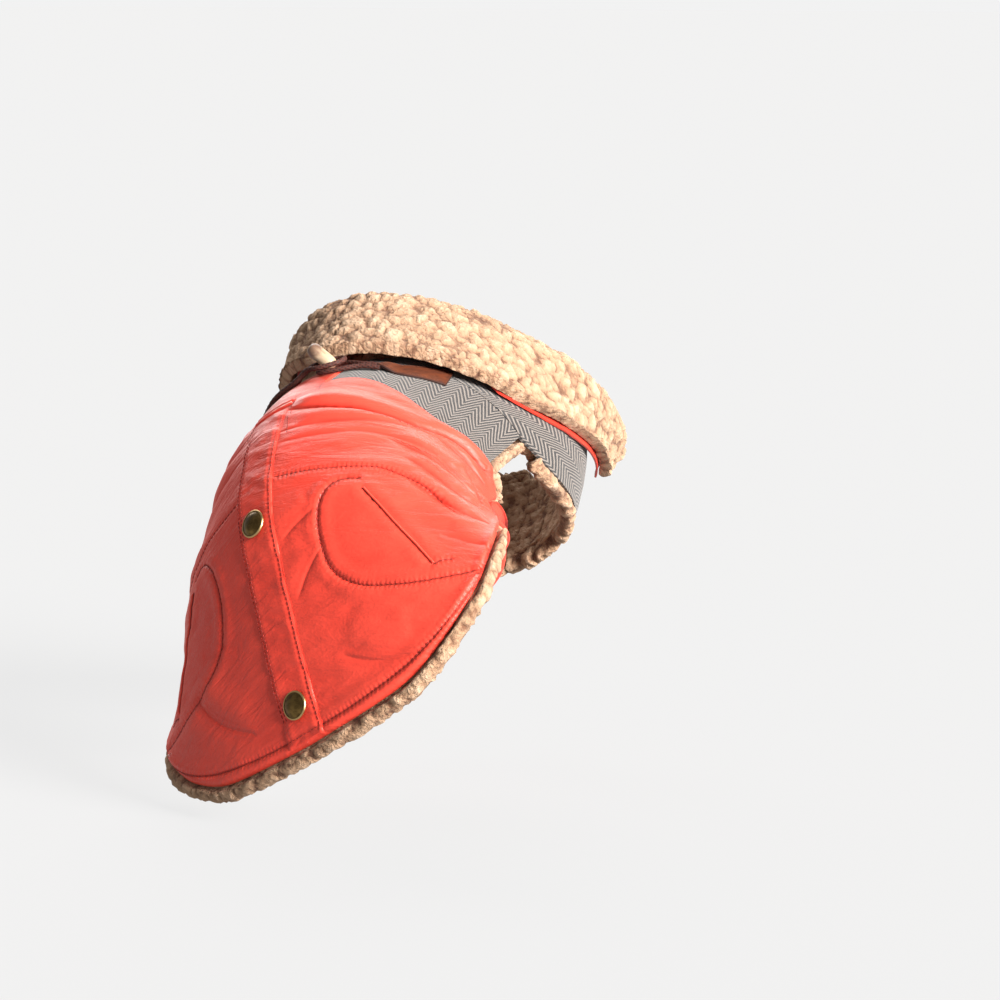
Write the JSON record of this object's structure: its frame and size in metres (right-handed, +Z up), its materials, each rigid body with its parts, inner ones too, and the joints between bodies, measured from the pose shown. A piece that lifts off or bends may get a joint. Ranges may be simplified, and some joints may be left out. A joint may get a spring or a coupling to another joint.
{
  "type": "dog winter coat",
  "caption": "Winter coat for a small dog: padded orange nylon cape with fleece lining, herringbone yokes, folded fleece collar, leather toggle closure and belly strap.",
  "frame": {"origin": "the middle of the withers, on the lining's inner face, where the coat rests on the wearer", "axes": "+Z up, the wearer faces -Y, the wearer's left is +X; the worn coat leans 30.5 degrees with its right side raised"},
  "size_m": [0.2484, 0.3325, 0.2467],
  "materials": {
    "nylon": "satin woven nylon, orange red",
    "tweed": "matt black and off-white herringbone wool",
    "fleece": "matt curly beige sherpa fleece",
    "leather": "smooth brown leather",
    "cord": "matt dark brown braid",
    "horn": "smooth pale horn-like wood",
    "brass": "antique brass"
  },
  "bodies": {
    "root": {"back_panel": "nylon", "placket": "nylon", "leash_slot": "nylon", "pocket_welt_right": "nylon", "pocket_welt_left": "nylon", "belly_strap_right": "nylon", "belly_strap_left": "nylon", "under_collar": "nylon", "yoke_back_right": "tweed", "yoke_back_left": "tweed", "yoke_front_right": "tweed", "yoke_front_left": "tweed", "lining_back_right": "fleece", "lining_back_left": "fleece", "lining_front_right": "fleece", "lining_front_left": "fleece", "collar_stand": "fleece", "collar_fall": "fleece", "leather_tab_right": "leather", "leather_tab_left": "leather", "toggle": "horn", "toggle_cord_right": "cord", "toggle_cord_left": "cord", "snap_upper": "brass", "snap_lower": "brass"}
  },
  "joints": []
}
